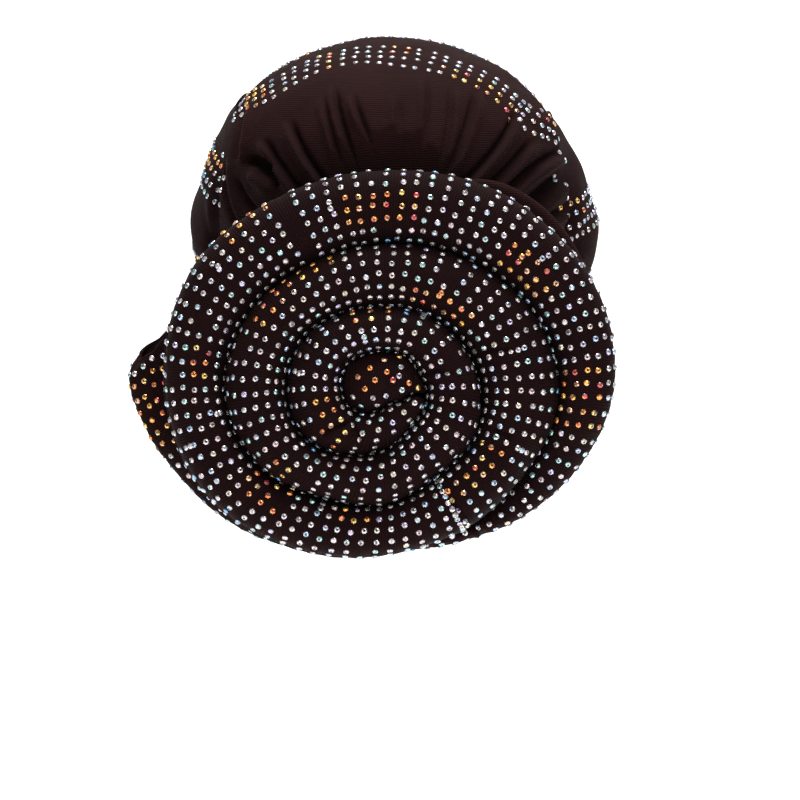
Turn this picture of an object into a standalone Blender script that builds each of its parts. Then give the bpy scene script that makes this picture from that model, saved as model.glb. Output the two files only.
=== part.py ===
"""Turban cap worn with a large padded rosette at the back of the head.

The crown is a hollow cloth cap, puffed at the back, where it gathers in behind the rosette. A looser front wrap
covers the forehead and both sides. The rosette is one long padded roll, wound from its tail inwards on a plain
padded base, with its inner end tucked over as a lobe.

Metres, +Z up. The origin is the centre of the head opening, +Y points to the wearer's face and +X to the
wearer's right, so the rosette faces -Y.
"""

import math

import bpy
from mathutils import Vector

# Crown
CROWN_HALF_WIDTH = 0.0825
CROWN_FRONT_DEPTH = 0.101
CROWN_BACK_DEPTH = 0.102
CROWN_TOP = 0.138
RIM_SLOPE = 0.46  # rise of the rim for each metre towards the face
CROWN_WALL = 0.002
PANEL_PUFF = 0.0045  # how far the gathered back panel stands out over the wrap's rear edges
PUFF_START = 3.0  # degrees behind those edges at which it starts, and at which it is full
PUFF_FULL = 14.0
GATHER_DEPTH = 0.0045  # deepest gather
GATHER_X = 0.003  # the gathers run to this point, behind the rosette
GATHER_Z = 0.016
GATHER_START = 0.35  # nearer to that point than this share of the crown's half width the cloth is flat
GATHER_FULL = 0.55  # and the gathers are full from this share on
GATHER_SIDE = 0.4  # towards the crown's sides they fade out over this share of its back depth

# Front wrap
WRAP_WALL = 0.002
WRAP_LOFT = 0.0145  # the most that the wrap stands off the crown
WRAP_GAP = 0.0006  # between the wrap's inner face and the crown, at the wrap's edges
WRAP_PLEAT = 0.0012
PLEAT_COUNT = 8.0  # how closely they lie where they fan out from the wrap's rear edges
PLEAT_HEIGHT = 0.36  # share of the way up the wrap from which they fan out
PLEAT_SPREAD = 0.12  # how blunt the fan's point is
WRAP_REAR_AZIMUTH = 112.0  # degrees from the face to each rear edge

# Rosette
ROSETTE_X = -0.0010
ROSETTE_Z = -0.034
ROSETTE_RADIUS = 0.100
ROLL_THICKNESS = 0.029
TAIL_THICKNESS = 0.016
SPIRAL_RISE = 0.007  # how far the inner turns stand out past the outer one
RISE_START = 200.0  # degrees along the roll at which they start to, and at which they do fully
RISE_FULL = 800.0
TURN_GAP = 0.0004  # between neighbouring turns
ROLL_FULLNESS = 0.85  # 1 for an oval section, less for a squarer one
BASE_THICKNESS = 0.006
SEAT_FLAT = 0.002  # how far the base presses the crown's back in
SEAT_CLEARANCE = 0.0004

# The rosette's layers, from the head out
SEAT_Y = -(CROWN_BACK_DEPTH - SEAT_FLAT)
BASE_BACK_Y = SEAT_Y - SEAT_CLEARANCE
BASE_FRONT_Y = BASE_BACK_Y - BASE_THICKNESS
ROLL_BACK_Y = BASE_FRONT_Y - SEAT_CLEARANCE
ROLL_Y = ROLL_BACK_Y - ROLL_THICKNESS / 2
TAIL_Y = ROLL_BACK_Y + TURN_GAP + TAIL_THICKNESS / 2

# The crown's profile, by the share of the way over it from the rim to the top: its height as a share of the rise
# from the rim, then shares of the half width, the front depth and the back depth.
CROWN_PROFILE = (
    # way, height, width, front, back
    (0.00, 0.000, 0.921, 0.941, 0.765),
    (0.08, 0.110, 0.955, 0.970, 0.900),
    (0.16, 0.218, 0.985, 0.993, 0.970),
    (0.24, 0.328, 1.000, 1.000, 0.995),
    (0.32, 0.438, 1.002, 0.996, 1.000),
    (0.40, 0.548, 0.997, 0.972, 0.990),
    (0.48, 0.657, 0.968, 0.920, 0.952),
    (0.56, 0.757, 0.900, 0.830, 0.875),
    (0.64, 0.840, 0.775, 0.700, 0.745),
    (0.72, 0.903, 0.625, 0.560, 0.600),
    (0.80, 0.950, 0.452, 0.403, 0.432),
    (0.88, 0.982, 0.270, 0.241, 0.257),
    (0.94, 0.995, 0.136, 0.121, 0.129),
    (1.00, 1.000, 0.000, 0.000, 0.000),
)

# How far the back panel's puff reaches up the crown.
PUFF_UP_CROWN = (
    # way, puff
    (0.03, 0.0),
    (0.22, 1.0),
    (0.50, 1.0),
    (0.75, 0.0),
)

# Gathers of the back panel: the direction in which each runs from the gather point, in degrees from +X towards
# +Z, its depth as a share of the named depth, half its width in degrees, and how far it runs, to where it has
# faded by half, as a share of the crown's half width.
GATHERS = (
    # direction, depth, half_width, reach
    (20.0, 1.00, 7.5, 0.95),
    (40.0, 0.70, 6.0, 1.05),
    (57.0, 0.90, 5.0, 1.20),
    (73.0, 0.60, 4.5, 1.00),
    (88.0, 0.40, 4.0, 0.90),
    (102.0, 0.80, 4.5, 1.20),
    (119.0, 0.60, 5.0, 1.10),
    (139.0, 1.30, 7.0, 1.05),
    (160.0, 0.90, 8.0, 1.00),
)

# The wrap's top edge: degrees from the face towards +X, and the share of the way over the crown from the rim.
WRAP_EDGE = (
    # azimuth, way
    (-112.0, 0.50),
    (-90.0, 0.59),
    (-60.0, 0.58),
    (-30.0, 0.52),
    (0.0, 0.49),
    (30.0, 0.49),
    (60.0, 0.51),
    (90.0, 0.54),
    (112.0, 0.48),
)

# How the wrap stands off the crown, as shares of its loft: up the wrap from rim to top edge, and round the head.
LOFT_UP_WRAP = (
    # share of the way up the wrap, loft
    (0.00, 0.05),
    (0.12, 0.32),
    (0.22, 0.72),
    (0.31, 1.00),
    (0.41, 0.92),
    (0.52, 0.84),
    (0.63, 0.57),
    (0.74, 0.32),
    (0.84, 0.15),
    (0.94, 0.05),
    (1.00, 0.00),
)
LOFT_ROUND_HEAD = (
    # degrees from the face towards +X, loft
    (-112.0, 0.00),
    (-104.0, 0.56),
    (-94.0, 0.86),
    (-78.0, 0.90),
    (-58.0, 0.74),
    (-30.0, 0.44),
    (0.0, 0.34),
    (30.0, 0.46),
    (58.0, 0.86),
    (78.0, 1.08),
    (94.0, 1.08),
    (104.0, 0.70),
    (112.0, 0.00),
)

# Edges of the wound roll, as shares of the rosette's radius, one row for each time round from the outside in and
# one column for every 30 degrees, from the place at the lower right where the roll comes out from under itself.
SPIRAL_START = 300.0  # degrees from +X towards +Z
SPIRAL_STEP = 30.0
SPIRAL_EDGES = (
    # 300, 330, 0, 30, 60, 90, 120, 150, 180, 210, 240, 270
    (0.775, 0.889, 1.000, 1.023, 0.997, 0.966, 0.975, 1.015, 0.985, 0.930, 0.816, 0.736),
    (0.706, 0.714, 0.759, 0.728, 0.670, 0.644, 0.648, 0.697, 0.723, 0.666, 0.560, 0.512),
    (0.441, 0.441, 0.410, 0.384, 0.370, 0.364, 0.388, 0.437, 0.450, 0.428, 0.340, 0.265),
    (0.198, 0.181, 0.170, 0.158, 0.168, 0.168, 0.185, 0.212, 0.203, 0.180, 0.120, 0.065),
    (0.066, 0.098, 0.130),
)
ROLL_TIP_TURN = 1116.0  # degrees along the roll from SPIRAL_START
LOBE_START = 18.0  # degrees from there to where the tucked lobe widens past the roll's end
FULL_TURN = 360.0

# The roll's tail, which starts at the left and passes behind the roll: degrees along the roll, and its edges.
TAIL = (
    # turn, inner, outer
    (-132.0, 0.880, 1.130),
    (-120.0, 0.850, 1.174),
    (-110.0, 0.800, 1.115),
    (-100.0, 0.750, 1.040),
    (-90.0, 0.700, 0.985),
    (-75.0, 0.640, 0.910),
    (-60.0, 0.580, 0.825),
    (-30.0, 0.560, 0.730),
    (0.0, 0.706, 0.775),
)
TAIL_RISE_END = 66.0  # the tail has come forward into the rosette's front by this turn

# The roll's two ends: how much it shrinks at a share of the end's length, from outside in.
ROLL_END = (
    # along, size
    (0.0, 0.55),
    (0.4, 0.85),
)
TAIL_END = 3.0  # degrees that each end takes up
TIP_END = 9.0

# Outline of the padded base, from +X towards +Z, as a share of the rosette's radius.
BASE_OUTLINE = (
    # degrees, radius
    (0.0, 0.730),
    (14.0, 0.900),
    (28.0, 1.020),
    (38.0, 1.060),
    (50.0, 1.075),
    (62.0, 1.055),
    (72.0, 0.990),
    (82.0, 0.935),
    (120.0, 0.950),
    (135.0, 0.995),
    (147.0, 1.035),
    (158.0, 1.000),
    (170.0, 0.830),
    (182.0, 0.760),
    (210.0, 0.620),
    (240.0, 0.510),
    (270.0, 0.490),
    (300.0, 0.570),
    (330.0, 0.630),
    (360.0, 0.730),
)

CROWN_ROWS = 18
CROWN_FRONT_COLUMNS = 24
CROWN_BACK_COLUMNS = 60
WRAP_COLUMNS = 40
WRAP_ROWS = 12
ROLL_STEP = 12.0  # degrees between the roll's sections
ROLL_SIDES = 14
DISC_SIDES = 40

CLOTH_COLOUR = (0.036, 0.019, 0.017, 1.0)
STONED_COLOUR = (0.055, 0.035, 0.033, 1.0)


def smooth(low, high, value):
    """0 below low, 1 above high, and a smooth rise between them."""
    share = min(1.0, max(0.0, (value - low) / (high - low)))
    return share * share * (3.0 - 2.0 * share)


def between_rows(rows, at, column):
    """A column of a table, read on a smooth curve through its rows at a value of their first column."""
    last = len(rows) - 1
    if at <= rows[0][0]:
        return rows[0][column]
    if at >= rows[last][0]:
        return rows[last][column]
    i = next(k for k in range(last) if rows[k + 1][0] >= at)

    def slope(k):
        low, high = max(k - 1, 0), min(k + 1, last)
        return (rows[high][column] - rows[low][column]) / (rows[high][0] - rows[low][0])

    width = rows[i + 1][0] - rows[i][0]
    t = (at - rows[i][0]) / width
    rise = rows[i + 1][column] - rows[i][column]
    start, end = slope(i) * width, slope(i + 1) * width
    return rows[i][column] + t * (start + t * (3 * rise - 2 * start - end + t * (start + end - 2 * rise)))


def crown_surface(azimuth, way):
    """The crown's outer face without its gathers, at degrees from the face and a share of the way over it."""
    turn = math.radians(azimuth)
    across, along = math.sin(turn), math.cos(turn)
    depth_column, depth = (3, CROWN_FRONT_DEPTH) if along >= 0 else (4, CROWN_BACK_DEPTH)
    width = CROWN_HALF_WIDTH * between_rows(CROWN_PROFILE, way, 2)
    reach = depth * between_rows(CROWN_PROFILE, way, depth_column)
    rim = RIM_SLOPE * depth * CROWN_PROFILE[0][depth_column] * along
    height = rim + (CROWN_TOP - rim) * between_rows(CROWN_PROFILE, way, 1)
    return Vector((width * across, reach * along, height))


def outward(azimuth, way):
    """The direction that the crown's smooth surface faces."""
    around = crown_surface(azimuth + 0.5, way) - crown_surface(azimuth - 0.5, way)
    over = crown_surface(azimuth, way + 0.01) - crown_surface(azimuth, way - 0.01)
    return over.cross(around).normalized()


def gather_depth(point):
    """How far the gathers pull in the crown's back at a point."""
    across, up = point.x - GATHER_X, point.z - GATHER_Z
    direction = math.degrees(math.atan2(up, across))
    distance = math.hypot(across, up) / CROWN_HALF_WIDTH
    depth = 0.0
    for at, share, half_width, reach in GATHERS:
        valley = math.exp(-(((direction - at) / half_width) ** 2))
        depth += share * valley * (1.0 - smooth(0.55 * reach, 1.45 * reach, distance))
    depth *= smooth(GATHER_START, GATHER_FULL, distance) * smooth(0.0, GATHER_SIDE, -point.y / CROWN_BACK_DEPTH)
    return GATHER_DEPTH * depth


def crown_point(azimuth, way):
    """The crown's outer face, at degrees from the face and a share of the way over it."""
    point = crown_surface(azimuth, way)
    from_face = 180.0 - abs(180.0 - azimuth % FULL_TURN)
    behind_wrap = smooth(WRAP_REAR_AZIMUTH + PUFF_START, WRAP_REAR_AZIMUTH + PUFF_FULL, from_face)
    puff = PANEL_PUFF * behind_wrap * between_rows(PUFF_UP_CROWN, way, 1)
    point += outward(azimuth, way) * (puff - gather_depth(point))
    point.y = max(point.y, SEAT_Y)
    return point


def wrap_point(azimuth, share):
    """The wrap's outer face, at degrees from the face and a share of the way from the rim to its top edge."""
    way = share * between_rows(WRAP_EDGE, azimuth, 1)
    loft = between_rows(LOFT_UP_WRAP, share, 1) * between_rows(LOFT_ROUND_HEAD, azimuth, 1)
    fan = math.atan2(share - PLEAT_HEIGHT, PLEAT_SPREAD + (WRAP_REAR_AZIMUTH - abs(azimuth)) / 90.0)
    pleat = WRAP_PLEAT * math.sin(PLEAT_COUNT * fan) * smooth(0.0, 0.3, loft)
    stand_off = WRAP_WALL + WRAP_GAP + WRAP_LOFT * loft + pleat
    return crown_surface(azimuth, way) + outward(azimuth, way) * stand_off


def edge_share(turn):
    """The roll's edge, as a share of the rosette's radius, at degrees along the roll from its start."""
    shares = [share for row in SPIRAL_EDGES for share in row]
    rows = [(SPIRAL_STEP * k, share) for k, share in enumerate(shares)]
    return between_rows(rows, turn, 1)


def roll_edges(turn):
    """Inner and outer distance of the roll from the rosette's axis."""
    if turn < 0.0:
        inner, outer = between_rows(TAIL, turn, 1), between_rows(TAIL, turn, 2)
    else:
        inner, outer = edge_share(turn + FULL_TURN), edge_share(turn)
    return inner * ROSETTE_RADIUS + TURN_GAP / 2, outer * ROSETTE_RADIUS - TURN_GAP / 2


def spiral_rise(turn):
    """How much further the roll's front stands out at a turn than on the outermost time round."""
    return SPIRAL_RISE * smooth(RISE_START, RISE_FULL, turn)


def polar(radius, degrees, y):
    """A point at a radius and an angle round the rosette's axis."""
    turn = math.radians(degrees)
    return Vector((ROSETTE_X + radius * math.cos(turn), y, ROSETTE_Z + radius * math.sin(turn)))


def roll_section(turn, size=1.0):
    """One closed section of the roll: a full oval, which stands out further in front on the inner turns."""
    inner, outer = roll_edges(turn)
    forward = smooth(0.0, TAIL_RISE_END, turn)
    middle_y = TAIL_Y + (ROLL_Y - TAIL_Y) * forward
    half_depth = (TAIL_THICKNESS + (ROLL_THICKNESS - TAIL_THICKNESS) * forward) / 2 * size
    half_width = (outer - inner) / 2 * size
    points = []
    for k in range(ROLL_SIDES):
        angle = -2 * math.pi * k / ROLL_SIDES
        across, out = math.cos(angle), math.sin(angle)
        across = math.copysign(abs(across) ** ROLL_FULLNESS, across)
        out = math.copysign(abs(out) ** ROLL_FULLNESS, out)
        reach = half_depth + (spiral_rise(turn) * size if out > 0 else 0.0)
        radius = (inner + outer) / 2 + half_width * across
        points.append(polar(radius, SPIRAL_START + turn, middle_y - reach * out))
    return points


def roll_sections():
    """The roll's sections from its tail to its tip, with both ends rounded off."""
    first, last = TAIL[0][0], ROLL_TIP_TURN
    count = round((last - first) / ROLL_STEP)
    sections = [roll_section(first + TAIL_END * along, size) for along, size in ROLL_END]
    sections += [roll_section(first + (last - first) * k / count) for k in range(1, count + 1)]
    sections += [roll_section(last + TIP_END * (1.0 - along), size) for along, size in reversed(ROLL_END)]
    return sections


def lobe_outline(degrees):
    """The tucked lobe's edge: the spiral's innermost time round."""
    start = ROLL_TIP_TURN + LOBE_START
    turn = start + (degrees - SPIRAL_START - start) % FULL_TURN
    return edge_share(turn) * ROSETTE_RADIUS - 1.5 * TURN_GAP


def base_outline(degrees):
    return between_rows(BASE_OUTLINE, degrees, 1) * ROSETTE_RADIUS


def disc_rings(outline, profile):
    """Rings of a padded disc round the rosette's axis: profile holds (share of the outline, y)."""
    step = FULL_TURN / DISC_SIDES
    return [[polar(share * outline(step * k), step * k, y) for k in range(DISC_SIDES)] for share, y in profile]


def cloth_material(name, colour, roughness):
    material = bpy.data.materials.new(name)
    material.use_nodes = True
    shader = material.node_tree.nodes["Principled BSDF"]
    shader.inputs["Base Color"].default_value = colour
    shader.inputs["Roughness"].default_value = roughness
    shader.inputs["Metallic"].default_value = 0.0
    return material


def add_object(name, points, faces, material, collection):
    mesh = bpy.data.meshes.new(name)
    mesh.from_pydata(points, [], faces)
    mesh.validate()
    mesh.shade_smooth()
    mesh.set_sharp_from_angle(angle=math.radians(50.0))
    mesh.materials.append(material)
    made = bpy.data.objects.new(name, mesh)
    collection.objects.link(made)
    return made


def loft_faces(rings, sides, closed):
    """Quads between neighbouring rings; closed joins each ring's last point to its first."""
    faces = []
    for i in range(rings - 1):
        for k in range(sides if closed else sides - 1):
            here, beside = i * sides + k, i * sides + (k + 1) % sides
            faces.append((here, beside, beside + sides, here + sides))
    return faces


def add_loft(name, rings, material, collection):
    """A closed solid through rings of equal count, each of them clockwise as seen from the ring before it."""
    sides = len(rings[0])
    points = [point for ring in rings for point in ring]
    faces = loft_faces(len(rings), sides, True)
    for start, step in ((0, 1), (len(points) - sides, -1)):
        middle = len(points)
        points.append(sum(points[start:start + sides], Vector()) / sides)
        for k in range(sides):
            pair = (start + k, start + (k + 1) % sides)[::-step]
            faces.append((middle, *pair))
    return add_object(name, points, faces, material, collection)


def add_shell(name, points, faces, wall, material, collection):
    """An open surface with its wall inside it."""
    made = add_object(name, points, faces, material, collection)
    solid = made.modifiers.new("wall", "SOLIDIFY")
    solid.thickness = wall
    solid.offset = -1.0
    solid.use_rim = True
    return made


def make_crown(material, collection):
    azimuths = [-90.0 + 180.0 * k / CROWN_FRONT_COLUMNS for k in range(CROWN_FRONT_COLUMNS)]
    azimuths += [90.0 + 180.0 * k / CROWN_BACK_COLUMNS for k in range(CROWN_BACK_COLUMNS)]
    columns = len(azimuths)
    points = [crown_point(azimuth, i / CROWN_ROWS) for i in range(CROWN_ROWS) for azimuth in azimuths]
    faces = [face[::-1] for face in loft_faces(CROWN_ROWS, columns, True)]
    points.append(Vector((0.0, 0.0, CROWN_TOP)))
    top, last_ring = len(points) - 1, len(points) - 1 - columns
    for k in range(columns):
        faces.append((top, last_ring + (k + 1) % columns, last_ring + k))
    return add_shell("crown", points, faces, CROWN_WALL, material, collection)


def make_front_wrap(material, collection):
    span = 2 * WRAP_REAR_AZIMUTH
    azimuths = [-WRAP_REAR_AZIMUTH + span * k / WRAP_COLUMNS for k in range(WRAP_COLUMNS + 1)]
    points = [wrap_point(azimuth, i / WRAP_ROWS) for i in range(WRAP_ROWS + 1) for azimuth in azimuths]
    faces = [face[::-1] for face in loft_faces(WRAP_ROWS + 1, WRAP_COLUMNS + 1, False)]
    return add_shell("front_wrap", points, faces, WRAP_WALL, material, collection)


def make_rosette_roll(material, collection):
    return add_loft("rosette_roll", roll_sections(), material, collection)


def make_rosette_centre(material, collection):
    front = ROLL_BACK_Y - ROLL_THICKNESS - SPIRAL_RISE
    profile = (
        (0.55, ROLL_BACK_Y),
        (0.88, ROLL_BACK_Y - 0.10 * ROLL_THICKNESS),
        (1.00, ROLL_BACK_Y - 0.45 * ROLL_THICKNESS),
        (0.97, ROLL_BACK_Y - 0.80 * ROLL_THICKNESS),
        (0.80, front + 0.10 * ROLL_THICKNESS),
        (0.45, front),
    )
    return add_loft("rosette_centre", disc_rings(lobe_outline, profile), material, collection)


def make_rosette_base(material, collection):
    profile = (
        (0.50, BASE_BACK_Y),
        (0.96, BASE_BACK_Y),
        (1.00, BASE_BACK_Y - 0.35 * BASE_THICKNESS),
        (1.00, BASE_BACK_Y - 0.65 * BASE_THICKNESS),
        (0.96, BASE_FRONT_Y),
        (0.50, BASE_FRONT_Y),
    )
    return add_loft("rosette_base", disc_rings(base_outline, profile), material, collection)


def main():
    for old in list(bpy.data.objects):
        bpy.data.objects.remove(old)
    collection = bpy.data.collections.new("turban_cap")
    bpy.context.scene.collection.children.link(collection)
    plain = cloth_material("plain_knit", CLOTH_COLOUR, 0.9)
    stoned = cloth_material("stoned_knit", STONED_COLOUR, 0.8)
    make_crown(plain, collection)
    make_front_wrap(stoned, collection)
    make_rosette_base(plain, collection)
    make_rosette_roll(stoned, collection)
    make_rosette_centre(stoned, collection)


main()
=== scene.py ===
"""Looks of the turban cap: knit cloth, the wound rosette and its glued stones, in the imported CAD's frame.

Metres, +Z up, +Y towards the wearer's face. Cloth follows the CAD's own forms at a finer step, then folds,
gathers and creases are added. Places named px or py are pixels of the photograph, which is 800 by 800.
"""

import math
import random

import bpy
import numpy as np
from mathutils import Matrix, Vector, noise
from mathutils.bvhtree import BVHTree


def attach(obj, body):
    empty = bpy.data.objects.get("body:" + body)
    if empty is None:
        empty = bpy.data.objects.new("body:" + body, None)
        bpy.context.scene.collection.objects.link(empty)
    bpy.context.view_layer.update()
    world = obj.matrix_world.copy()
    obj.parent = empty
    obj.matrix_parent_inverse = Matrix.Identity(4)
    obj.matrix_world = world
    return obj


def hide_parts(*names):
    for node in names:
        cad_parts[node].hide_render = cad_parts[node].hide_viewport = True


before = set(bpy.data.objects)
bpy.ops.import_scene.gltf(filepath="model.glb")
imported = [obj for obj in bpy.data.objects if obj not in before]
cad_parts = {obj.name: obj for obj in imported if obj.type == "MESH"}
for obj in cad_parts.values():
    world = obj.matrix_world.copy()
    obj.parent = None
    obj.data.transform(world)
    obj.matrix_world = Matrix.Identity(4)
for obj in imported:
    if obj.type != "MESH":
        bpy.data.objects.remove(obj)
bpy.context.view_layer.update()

SEED = 7
FULL_TURN = 360.0

# The photograph's camera
CAMERA = (0.0044, -1.25, -0.039)
PIXEL = 0.00049  # size of a pixel at the middle of the head
FRAME_PIXELS = 800
SENSOR_WIDTH = 36.0

# Crown
CROWN_HALF_WIDTH = 0.0825
CROWN_FRONT_DEPTH = 0.101
CROWN_BACK_DEPTH = 0.102
CROWN_TOP = 0.138
RIM_SLOPE = 0.46
CROWN_WALL = 0.002
PANEL_PUFF = 0.0045
PUFF_START = 0.4  # degrees behind the wrap's rear edge
PUFF_FULL = 4.0
EDGE_PUFF = (0.0014, 0.0030)  # more beside that edge, at the photograph's left and right
EDGE_PUFF_END = 26.0
EDGE_PUFF_WAYS = (0.48, 0.60)  # where that fades out, over the crown
BARE_WAYS = (0.55, 0.65)  # where the crown comes out above the wrap
MIDDLE_WAY = 0.4  # where the knit's scale round the crown is measured
CROWN_COLUMNS = ((-110.0, 110.0, 45), (110.0, 250.0, 296))  # of its mesh: from, to, how many
CROWN_ROWS = ((0.0, 0.20, 11), (0.20, 0.76, 106), (0.76, 0.985, 20))

# Front wrap
WRAP_WALL = 0.002
WRAP_EDGE_WALL = 0.001
WRAP_THINNING = 0.10  # share of the wrap's height over which its top edge thins
WRAP_REAR_THINNING = 6.0  # degrees over which its rear edges thin
WRAP_LOFT = 0.0145
WRAP_GAP = 0.0006
WRAP_PLEAT = 0.0012
PLEAT_COUNT = 8.0
PLEAT_HEIGHT = 0.36
PLEAT_SPREAD = 0.12
FULL_PLEAT_LOFT = 0.3
WRAP_REAR_AZIMUTH = 112.0
LOFT_BLEND = 60.0  # degrees from the face where the left's loft gives way to the right's
WRAP_COLUMNS = 271
WRAP_ROWS = 81
TOP_HEM = slice(16, -16)  # columns of its top edge that have a hem

# Rosette
ROSETTE_X = -0.0010
ROSETTE_Z = -0.034
ROSETTE_PX = 388
ROSETTE_PY = 388
ROSETTE_RADIUS = 0.100
ROLL_THICKNESS = 0.029
TAIL_THICKNESS = 0.016
SPIRAL_RISE = 0.007
RISE_START = 200.0
RISE_FULL = 800.0
TURN_GAP = 0.0004
TURN_PRESS = 0.0015  # how far each turn's inner side reaches into the next, against light between them
PRESS_FULL = 60.0
ROLL_FULLNESS = 0.90  # 1 for a section that is an ellipse, less for a squarer one
BASE_THICKNESS = 0.006
SEAT_Y = -0.100
PIECE_GAP = 0.0004
BASE_BACK_Y = SEAT_Y - PIECE_GAP
BASE_FRONT_Y = BASE_BACK_Y - BASE_THICKNESS
ROLL_BACK_Y = BASE_FRONT_Y - PIECE_GAP
ROLL_Y = ROLL_BACK_Y - ROLL_THICKNESS / 2
TAIL_Y = ROLL_BACK_Y + TURN_GAP + TAIL_THICKNESS / 2
SPIRAL_START = 300.0
SPIRAL_STEP = 30.0
ROLL_TIP_TURN = 1116.0
LOBE_START = 18.0
TAIL_RISE_END = 66.0
MOUTH_SETBACK = 2.9  # degrees by which its front edge lies behind its rear edge
MOUTH_FADE = 36.0
INNER_GROOVE_START = 0.46  # place across a section where it turns down into a groove and its painted shade starts, on its inner side
OUTER_GROOVE_START = 0.74  # and on its outer side
# how much painted shade the roll gets deep in the grooves between its turns
GROOVE_SHADE = 0.9
TIP_RINGS = 7
TIP_LENGTH = 13.0
SECTION_STEP = 1.5
SECTION_SIDES = 60
SECTION_RADIUS = 0.014  # for the knit's scale round the roll
PUCKER_HEIGHT = 0.00028
PUCKER_PITCH = 0.0075
PUCKER_ACROSS = (0.45, 0.95)
TAIL_HEM_ROW = 3
SEAM_TURNS = (222.0, 316.0)
LOBE_SIDES = 120
BASE_SIDES = 180

# Small random ripples: height, wavelength, offset
CROWN_RIPPLES = ((0.0005, 0.020, 3.1), (0.00025, 0.008, 9.7))
WRAP_RIPPLES = ((0.0006, 0.018, 5.3),)
ROLL_RIPPLES = ((0.0006, 0.022, 8.2), (0.0002, 0.007, 2.9))
LOBE_RIPPLES = ((0.0006, 0.012, 4.4), (0.00025, 0.005, 6.1))

CROWN_PROFILE = (
    # way over the crown from rim to top, height, width, front, back
    (0.00, 0.000, 0.921, 0.941, 0.765),
    (0.08, 0.110, 0.955, 0.970, 0.900),
    (0.16, 0.218, 0.985, 0.993, 0.970),
    (0.24, 0.328, 1.000, 1.000, 0.995),
    (0.32, 0.438, 1.002, 0.996, 1.000),
    (0.40, 0.548, 0.997, 0.972, 0.990),
    (0.48, 0.657, 0.968, 0.920, 0.952),
    (0.56, 0.757, 0.900, 0.830, 0.875),
    (0.64, 0.840, 0.775, 0.700, 0.745),
    (0.72, 0.903, 0.625, 0.560, 0.600),
    (0.80, 0.950, 0.452, 0.403, 0.432),
    (0.88, 0.982, 0.270, 0.241, 0.257),
    (0.94, 0.995, 0.136, 0.121, 0.129),
    (1.00, 1.000, 0.000, 0.000, 0.000),
)
PUFF_UP_CROWN = (
    # way, puff
    (0.03, 0), (0.22, 1), (0.5, 1), (0.75, 0),
)
WRAP_EDGE = (
    # degrees from the face towards +X, way over the crown at the wrap's top edge
    (-112, 0.5), (-90, 0.59), (-60, 0.58), (-30, 0.52), (0, 0.49), (30, 0.49), (60, 0.51), (90, 0.54),
    (112, 0.48),
)
LOFT_UP_WRAP = (
    # share of the way up the wrap, loft at the left, loft at the right
    (0, 0.05, 0.05), (0.12, 0.32, 0.32), (0.22, 0.72, 0.72), (0.31, 1, 1), (0.41, 0.94, 0.95),
    (0.52, 0.91, 0.96), (0.63, 0.63, 0.77), (0.74, 0.29, 0.48), (0.84, 0.09, 0.18), (0.94, 0.02, 0.05),
    (1, 0, 0),
)
LOFT_ROUND_HEAD = (
    # degrees from the face towards +X, loft
    (-112, 0), (-104, 0.56), (-94, 0.86), (-78, 0.9), (-58, 0.74), (-30, 0.44), (0, 0.34), (30, 0.46),
    (58, 0.86), (78, 1.08), (94, 1.08), (104, 0.7), (112, 0),
)
SPIRAL_EDGES = (
    # 300, 330, 0, 30, 60, 90, 120, 150, 180, 210, 240, 270
    (0.775, 0.889, 1.000, 1.023, 0.997, 0.966, 0.975, 1.015, 0.985, 0.930, 0.816, 0.736),
    (0.706, 0.714, 0.759, 0.728, 0.670, 0.644, 0.648, 0.697, 0.723, 0.666, 0.560, 0.512),
    (0.441, 0.441, 0.410, 0.384, 0.370, 0.364, 0.388, 0.437, 0.450, 0.428, 0.340, 0.265),
    (0.198, 0.181, 0.170, 0.158, 0.168, 0.168, 0.185, 0.212, 0.203, 0.180, 0.120, 0.065),
    (0.066, 0.098, 0.130),
)
TAIL = (
    # turn, inner, outer
    (-132, 0.88, 1.13), (-128, 0.87, 1.172), (-124, 0.86, 1.164), (-120, 0.85, 1.144), (-110, 0.8, 1.092),
    (-100, 0.75, 1.037), (-90, 0.7, 0.985), (-75, 0.64, 0.91), (-60, 0.58, 0.825), (-30, 0.56, 0.73),
    (0, 0.706, 0.775),
)
# The tail's open end: how many degrees its edge lies past the first section, by the place across the section
# from its inner side, -1, to its outer side, 1.
MOUTH_EDGE = (
    # across, degrees
    (-1, -2), (0, -3), (0.28, -2.6), (0.4, -0.6), (0.87, 2.2), (1, 3.4),
)
MOUTH_RINGS = (
    # degrees past the open end, size across, size through
    (7, 0.55, 0.1), (5, 0.8, 0.25), (1.2, 0.93, 0.62), (0, 0.975, 0.86), (0.3, 1, 1),
)
BASE_OUTLINE = (
    # degrees, radius
    (0, 0.73), (14, 0.9), (28, 1.02), (38, 1.06), (50, 1.075), (62, 1.055), (72, 0.99), (82, 0.935),
    (120, 0.95), (135, 0.995), (147, 1.035), (158, 1), (170, 0.83), (182, 0.76), (210, 0.62), (240, 0.51),
    (270, 0.49), (300, 0.57), (330, 0.63), (360, 0.73),
)

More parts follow.
